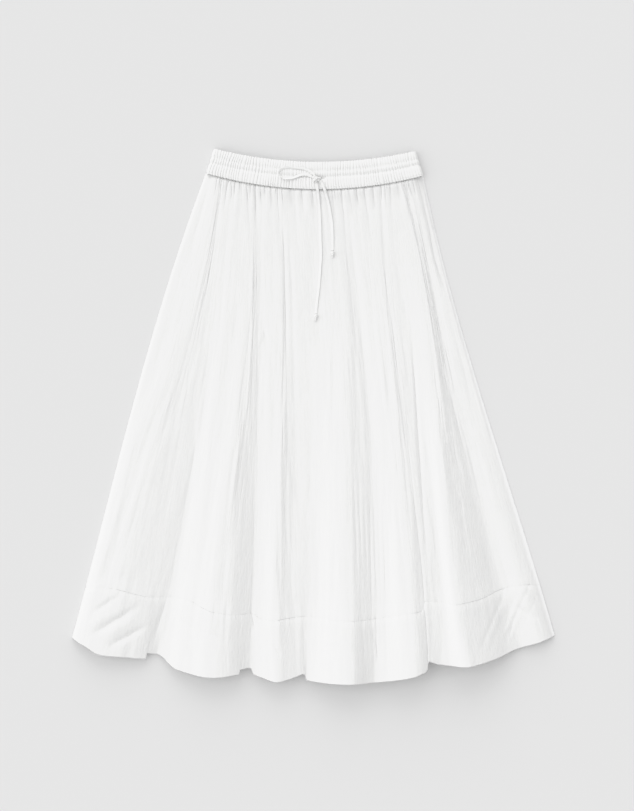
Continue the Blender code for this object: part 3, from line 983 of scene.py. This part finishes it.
def tube_faces(rings, sides, start, closed):
    """Quads of a tube's rings."""
    index = start + np.arange(rings * sides).reshape(rings, sides)
    follow = np.roll(index, -1, axis=0) if closed else index[1:]
    index = index if closed else index[:-1]
    quads = (index, np.roll(index, -1, axis=1), np.roll(follow, -1, axis=1), follow)
    return np.stack(quads, axis=2).reshape(-1, 4)


def add_tubes(name, tubes, material):
    """One mesh of several tubes. A tube is its rings, and whether it closes on itself."""
    vertices, faces, uvs, start = [], [], [], 0
    for rings, closed in tubes:
        sides = rings.shape[1]
        if not closed:
            ends = np.repeat(rings[[0, -1]].mean(axis=1)[:, None], sides, axis=1)
            rings = np.concatenate((ends[:1], rings, ends[1:]))
        run = arc_places(rings.mean(axis=1))
        uv = np.stack(np.broadcast_arrays(np.arange(sides) * UV_ROUND_TUBE, run[:, None]), axis=2)
        uvs.append(uv.reshape(-1, 2))
        vertices.append(rings.reshape(-1, 3))
        faces.append(tube_faces(len(rings), sides, start, closed))
        start += len(rings) * sides
    return make_mesh(name, vertices, faces, uvs, material)


def overhand_knot(centre, size, thread):
    """A small tight knot of that outer size, as a closed trefoil of round thread."""
    turn = full_turn(THREAD_POINTS)
    x = (np.sin(turn) + 2.0 * np.sin(2.0 * turn)) / 3.0
    y = (np.cos(turn) - 2.0 * np.cos(2.0 * turn)) / 3.0
    room = np.array(size) / 2.0 - thread
    points = np.stack((x, y, -np.sin(3.0 * turn)), axis=1) * room + np.array(centre)
    return round_rings(points, thread, THREAD_SIDES, True), True


def knot_wrap(centre):
    """The turn of cord that wraps the bow's middle, round an axis in the plan."""
    axis = np.array((*WRAP_AXIS, 0.0)) / math.hypot(*WRAP_AXIS)
    turn = full_turn(WRAP_POINTS)[:, None]
    outward = np.cos(turn) * np.cross(axis, UP) + np.sin(turn) * UP
    reach = WRAP_ACROSS * np.abs(np.cos(turn)) + WRAP_UP * np.abs(np.sin(turn))
    points = np.array(centre) + outward * reach
    section = full_turn(RIBBON_SIDES)
    wide = axis * (np.cos(section) * WRAP_HALF_WIDTH)[:, None]
    thick = np.sin(section) * RIBBON_HALF_THICKNESS
    return points[:, None] + wide[None] + outward[:, None] * thick[None, :, None], True


def add_end_knot(knot, tree, cord):
    """The knot at the end of a tail, with the cord's tip."""
    x, y = knot.centre
    height = cloth_height(tree, x, y) + END_KNOT_SIZE[2] / 2.0 - END_KNOT_SINK
    tip_height = cloth_height(tree, *knot.tip) + TIP_HEIGHT
    start, bend = (x, y - 2.0, height), (x - 0.2, y - 4.6, tip_height + 0.5)
    end = route_points((start, bend, (*knot.tip, tip_height)), TIP_STEP)
    widths = np.linspace(TIP_START_WIDTH, TIP_END_WIDTH, len(end))
    tip = ribbon_rings(end, widths, TIP_HALF_THICKNESS, 0.0)
    lump = overhand_knot((x, y, height), END_KNOT_SIZE, END_KNOT_THREAD)
    return finish_piece(add_tubes(knot.name, [lump, (tip, False)], cord), "drawstring_cord", knot.node)


def add_bow_knot(tree, cord):
    """The bow's knot: its wrap, the strands through it and the two leads into the casing."""
    x, y = KNOT_CENTRE
    floor = cloth_height(tree, x, y)
    middle = floor + KNOT_HEIGHT
    tubes = [knot_wrap((x, y, middle))]
    for number, strand in enumerate(KNOT_STRANDS):
        levels = [floor if number >= LEADS_FROM and i > 0 else middle for i in range(len(strand))]
        route = [(*place[:2], level + place[2]) for place, level in zip(strand, levels)]
        points = route_points(route, 1.0)
        rings = ribbon_rings(points, STRAND_HALF_WIDTH, STRAND_HALF_THICKNESS, STRAND_TURN)
        tubes.append((rings, False))
    finish_piece(add_tubes("bow_knot_ribbon", tubes, cord), "drawstring_cord", "bow_knot")


def add_ribbon(ribbon, tree, cord):
    """One free stretch of the cord, settled on the cloth and turned partly on edge."""
    points = route_points(ribbon.route, RIBBON_STEP)
    run = np.linspace(0.0, 1.0, len(points))
    roll = ribbon.turn * (0.5 * np.sin(TAIL_WAVES * math.pi * run + TAIL_START) - 1.0)
    if not ribbon.knot:
        roll = ribbon.turn * np.sin(math.pi * run) ** 2 * np.where(run > 0.5, 1.0, LOOP_START)
    on_edge = np.abs(np.sin(roll)) ** 1.5
    stand = RIBBON_HALF_THICKNESS + (RIBBON_HALF_WIDTH - RIBBON_HALF_THICKNESS) * on_edge
    points = rise_to_knot(settle(points, tree, stand))
    rings = ribbon_rings(points, RIBBON_HALF_WIDTH, RIBBON_HALF_THICKNESS, roll)
    obj = finish_piece(add_tubes(ribbon.name, [(rings, False)], cord), "drawstring_cord", ribbon.node)


def add_drawstring(tree, cord):
    """The knots at the ends of the bow's tails, its knot, its loop and its two tails."""
    knots = {knot.name: add_end_knot(knot, tree, cord) for knot in END_KNOTS}
    add_bow_knot(tree, cord)
    for ribbon in RIBBONS:
        add_ribbon(ribbon, tree, cord)


# ---- sewing
STITCH_LENGTH, STITCH_GAP, STITCH_RADIUS = 2.0, 0.7, 0.22
STITCH_PLACES, STITCH_RISE = np.array((0.0, 0.25, 0.75, 1.0)), np.array((-0.15, 0.12, 0.12, -0.15))
STITCH_TAPER, STITCH_SIDES = np.array((0.4, 1.0, 1.0, 0.4)), 5
HEM_STITCH_ROW, HEM_STITCH_SINK, BAND_STITCH_SINK = 2, 0.1, 0.15
STITCH_LINE_POINTS = 400
SIDE_SEAM_REACH = 0.4
SIDE_SEAM_RINGS, SIDE_SEAM_SIDES, SIDE_SEAM_FILL = 90, 10, 0.97


def add_stitches(name, slot, points, material):
    """A row of stitches along a line that lies on the cloth, each a small spindle."""
    places = arc_places(points)
    tubes = []
    pitch = STITCH_LENGTH + STITCH_GAP
    for i in range(int(places[-1] / pitch)):
        at = i * pitch + STITCH_PLACES * STITCH_LENGTH
        line = np.stack([np.interp(at, places, points[:, axis]) for axis in range(3)], axis=1)
        line[:, 2] += STITCH_RISE
        tubes.append((round_rings(line, STITCH_RADIUS * STITCH_TAPER, STITCH_SIDES, False), False))
    finish_piece(add_tubes(name, tubes, material), slot)


def add_side_seam(side, points, cotton):
    """The seam that closes one side, as a thin cord between the two edges."""
    points[:, 2] = (points[:, 2] + PANEL_WALL * SIDE_THINNESS) / 2.0
    radius = points[:, 2] * SIDE_SEAM_FILL
    points[:, 0] -= math.copysign(1.0, points[0, 0]) * (radius - SIDE_SEAM_REACH)
    rings = round_rings(points, radius, SIDE_SEAM_SIDES, False)
    obj = add_tubes("side_seam_" + side, [(rings, False)], cotton)
    # Painted light: the right seam is marked whole, so its colour is whitened
    mark(obj, "edge", np.full(len(obj.data.vertices), float(side == "right")))
    finish_piece(obj, "cotton")


def add_sewing(front, front_hem, cotton, casing):
    """Stitching on the hem band and the waistband, and the seams that close the sides."""
    line = front_hem[HEM_STITCH_ROW] + (0.0, 0.0, PANEL_WALL - HEM_STITCH_SINK)
    add_stitches("front_hem_stitches", "cotton", line, cotton)

    for number, (along, depth, _) in enumerate(BAND_STITCH_LINES):
        across = np.linspace(-1.0, 1.0, STITCH_LINE_POINTS)
        x = band_at(along).centre + (band_at(along).half_width - BAND_THICKNESS / 2.0) * across
        height = np.full(len(x), BAND_THICKNESS - depth - BAND_STITCH_SINK)
        line = np.stack((x, waist_y(x, along), height), axis=1)
        add_stitches("waistband_stitches_%d" % (number + 1), "gathered_casing", line, casing)

    for side, column in (("left", 0), ("right", -1)):
        edge = np.concatenate((front[:, column], front_hem[1:, column]))
        step = np.linspace(0, len(edge) - 1, SIDE_SEAM_RINGS).astype(int)
        add_side_seam(side, edge[step], cotton)


# ---- materials
# A finish: its tone, its gloss, its crinkles along and down the cloth, and its weave
Finish = namedtuple("Finish", "name colour roughness sheen crinkle_scale crinkle weave")
FINISHES = (
    Finish("cotton", (0.82, 0.82, 0.816), 0.85, 0.12, (240.0, 34.0, 1.0), 0.7, 0.3),
    Finish("gathered_casing", (0.84, 0.84, 0.836), 0.88, 0.12, (420.0, 90.0, 1.0), 0.35, 0.3),
    Finish("drawstring_cord", (0.87, 0.87, 0.864), 0.8, 0.2, (900.0, 500.0, 1.0), 0.3, 0.6),
)
# Painted light: the white that the marked right edge is mixed towards, lifting its shade
EDGE_PAINTED_LIGHT = (0.97, 0.97, 0.97, 1.0)
SHEEN_ROUGHNESS, SPECULAR = 0.5, 0.3
TONE_LUMPS, LEAST_TONE, MOST_TONE = (60.0, 22.0, 1.0), 0.975, 1.02

# Bumps: how high each is, in metres, and the size of its lumps
RUN_BUMP, LEAST_RUN, MOST_RUN = 0.0012, 0.5, 1.1
SLANT_BUMP, SLANT_SIZE, SLANT_ANGLE = 0.0007, (0.0036, 0.019, 1.0), 0.38
SLUB_BUMP, SLUB_LUMPS, SLUB_SHARE = 0.00025, (55.0, 900.0, 1.0), 0.35
THREAD_BUMP, THREAD_PITCH, THREAD_WAVER = 0.00008, 0.00045, 0.6
WAVE_PERIOD = 0.314


def node(tree, kind, inputs, **settings):
    """A shader node with its settings, and a value or a link at each input named."""
    made = tree.nodes.new(kind)
    for name, value in settings.items():
        setattr(made, name, value)
    for name, value in inputs.items():
        if isinstance(value, bpy.types.NodeSocket):
            tree.links.new(value, made.inputs[name])
        else:
            made.inputs[name].default_value = value
    return made.outputs


def bump(tree, height, distance, strength, before=None):
    """A bump from a height, on top of the bump before it."""
    inputs = {"Height": height, "Distance": distance, "Strength": strength}
    if before:
        inputs["Normal"] = before
    return node(tree, "ShaderNodeBump", inputs)["Normal"]


def noise(tree, vector, detail, roughness, scale, **mapping):
    """Noise at coordinates that a mapping stretches."""
    inputs = {"Vector": vector, "Scale": scale, "Rotation": mapping.pop("turn", (0.0, 0.0, 0.0))}
    at = node(tree, "ShaderNodeMapping", inputs, **mapping)["Vector"]
    inputs = {"Vector": at, "Scale": 1.0, "Detail": detail, "Roughness": roughness}
    return node(tree, "ShaderNodeTexNoise", inputs)["Fac"]


def share_between(tree, share, least, most):
    """A value that goes from least to most with a share from 0 to 1."""
    inputs = {"Value": share, "To Min": least, "To Max": most}
    return node(tree, "ShaderNodeMapRange", inputs)["Result"]


def product(tree, one, two):
    """One value times another."""
    return node(tree, "ShaderNodeMath", {0: one, 1: two}, operation="MULTIPLY")["Value"]


def marked(tree, name):
    """The value that the cloth's points are marked with."""
    return node(tree, "ShaderNodeAttribute", {}, attribute_name=name)["Fac"]


def threads(tree, vector, direction):
    """Thread ridges across one direction of the cloth."""
    inputs = {"Vector": vector, "Scale": WAVE_PERIOD / THREAD_PITCH, "Distortion": THREAD_WAVER}
    return node(tree, "ShaderNodeTexWave", inputs, bands_direction=direction)["Fac"]


def cloth_colour(tree, vector, colour):
    """The cloth's colour, slightly uneven, with painted light that whitens the marked right edge."""
    lumps = noise(tree, vector, 4.0, 0.55, TONE_LUMPS)
    inputs = {0: 1.0, 6: (*colour, 1.0), 7: share_between(tree, lumps, LEAST_TONE, MOST_TONE)}
    tint = node(tree, "ShaderNodeMix", inputs, data_type="RGBA", blend_type="MULTIPLY")[2]
    # Painted light: the marked right edge is mixed towards white
    inputs = {0: marked(tree, "edge"), 6: tint, 7: EDGE_PAINTED_LIGHT}
    return node(tree, "ShaderNodeMix", inputs, data_type="RGBA")[2]


def cloth_bumps(tree, vector, finish):
    """Crinkles along the cloth and at a slant to it, slubs and the threads of the weave."""
    slope = marked(tree, "slope")
    run = noise(tree, vector, 5.0, 0.55, finish.crinkle_scale)
    run = product(tree, run, share_between(tree, slope, LEAST_RUN, MOST_RUN))
    normal = bump(tree, run, RUN_BUMP, finish.crinkle)
    slant = noise(tree, vector, 3.0, 0.5, SLANT_SIZE, vector_type="TEXTURE", turn=(0.0, 0.0, SLANT_ANGLE))
    slant = product(tree, slant, share_between(tree, slope, 0.0, 1.0))
    normal = bump(tree, slant, SLANT_BUMP, finish.crinkle, normal)
    slubs = noise(tree, vector, 2.0, 0.55, SLUB_LUMPS)
    normal = bump(tree, slubs, SLUB_BUMP, SLUB_SHARE * finish.weave, normal)
    for direction in ("X", "Y"):
        normal = bump(tree, threads(tree, vector, direction), THREAD_BUMP, finish.weave, normal)
    return normal


def plain_material(name, roughness, specular):
    """A material with a Principled shader, its shader and its node tree."""
    material = bpy.data.materials.new(name)
    material.use_nodes = True
    shader = material.node_tree.nodes["Principled BSDF"]
    shader.inputs["Roughness"].default_value = roughness
    shader.inputs["Specular IOR Level"].default_value = specular
    return material, shader, material.node_tree


def cloth_material(finish):
    """Woven cotton: threads, slubs and crinkles as bumps, with a slight change of tone."""
    material, shader, tree = plain_material(finish.name, finish.roughness, SPECULAR)
    shader.inputs["Sheen Weight"].default_value = finish.sheen
    shader.inputs["Sheen Roughness"].default_value = SHEEN_ROUGHNESS
    vector = node(tree, "ShaderNodeUVMap", {}, uv_map="cloth")["UV"]
    tree.links.new(cloth_colour(tree, vector, finish.colour), shader.inputs["Base Color"])
    tree.links.new(cloth_bumps(tree, vector, finish), shader.inputs["Normal"])
    return material


# ---- stage
PHOTO_HEIGHT = 1.419
VIEW_CENTRE = (0.0061, 0.0174)
CAMERA_HEIGHT = 3.8
CLOTH_LEVEL = 0.02
SENSOR = 36.0
FLOOR_GREY = (0.737, 0.737, 0.737, 1.0)
FLOOR_REACH, FLOOR_DROP = 9.0, 0.0002
WORLD_STRENGTH = 0.736

# A lamp far away: the direction to it, its strength and how many degrees wide it is
Sun = namedtuple("Sun", "name towards strength softness")
SUNS = (
    Sun("key", (-0.12, 0.90, 0.40), 1.12, 54.0),
    Sun("left_fill", (-0.84, 0.05, 0.46), 1.32, 78.0),
)

# The photograph's tones: slopes slightly apart, and the brightest tones drawn together
TONE_CURVE = ((0.6, 0.62), (0.7, 0.69), (0.885, 0.885), (0.95, 0.91), (1.0, 0.925))


def add_camera():
    """Looks straight down, as far away as fits the photograph's frame."""
    data = bpy.data.cameras.new("camera")
    data.sensor_width = SENSOR
    data.lens = SENSOR * CAMERA_HEIGHT / PHOTO_HEIGHT
    camera = add_object("camera", data)
    camera.location = (*VIEW_CENTRE, CAMERA_HEIGHT + CLOTH_LEVEL)
    bpy.context.scene.camera = camera


def add_suns():
    """Two soft lamps."""
    for sun in SUNS:
        data = bpy.data.lights.new(sun.name, "SUN")
        data.energy = sun.strength
        data.angle = math.radians(sun.softness)
        turn = Vector(sun.towards).to_track_quat("Z", "Y")
        add_object(sun.name, data).rotation_euler = turn.to_euler()


def add_floor():
    """A plain pale surface under the skirt."""
    material, shader, _ = plain_material("floor", 1.0, 0.0)
    shader.inputs["Base Color"].default_value = FLOOR_GREY
    mesh = bpy.data.meshes.new("floor")
    far = FLOOR_REACH
    corners = [(x, y, -FLOOR_DROP) for x, y in ((-far, -far), (far, -far), (far, far), (-far, far))]
    mesh.from_pydata(corners, [], [(0, 1, 2, 3)])
    mesh.materials.append(material)
    floor = add_object("floor", mesh)


def add_world():
    """Even light from all round."""
    world = bpy.data.worlds.new("studio")
    world.use_nodes = True
    inputs = world.node_tree.nodes["Background"].inputs
    inputs["Color"].default_value = (1.0, 1.0, 1.0, 1.0)
    inputs["Strength"].default_value = WORLD_STRENGTH
    bpy.context.scene.world = world


def set_tones():
    """Gives the picture the photograph's tones."""
    view = bpy.context.scene.view_settings
    view.view_transform = "Standard"
    view.use_curve_mapping = True
    curve = view.curve_mapping.curves[3]
    curve.points[-1].location = TONE_CURVE[-1]
    for point in TONE_CURVE[:-1]:
        curve.points.new(*point)
    for point in curve.points:
        point.handle_type = "VECTOR"
    view.curve_mapping.update()


def main():
    """Dresses the skirt and sets the stage."""
    add_camera()
    cotton, casing, cord = (cloth_material(finish) for finish in FINISHES)
    made, points = add_sheets(cotton)
    band = add_waistband(casing)
    add_drawstring(cloth_tree((made["front_cloth"], band)), cord)
    add_sewing(points["front_cloth"], points["front_hem_cloth"], cotton, casing)
    add_floor()
    add_world()
    add_suns()
    set_tones()


main()
bpy.context.view_layer.update()
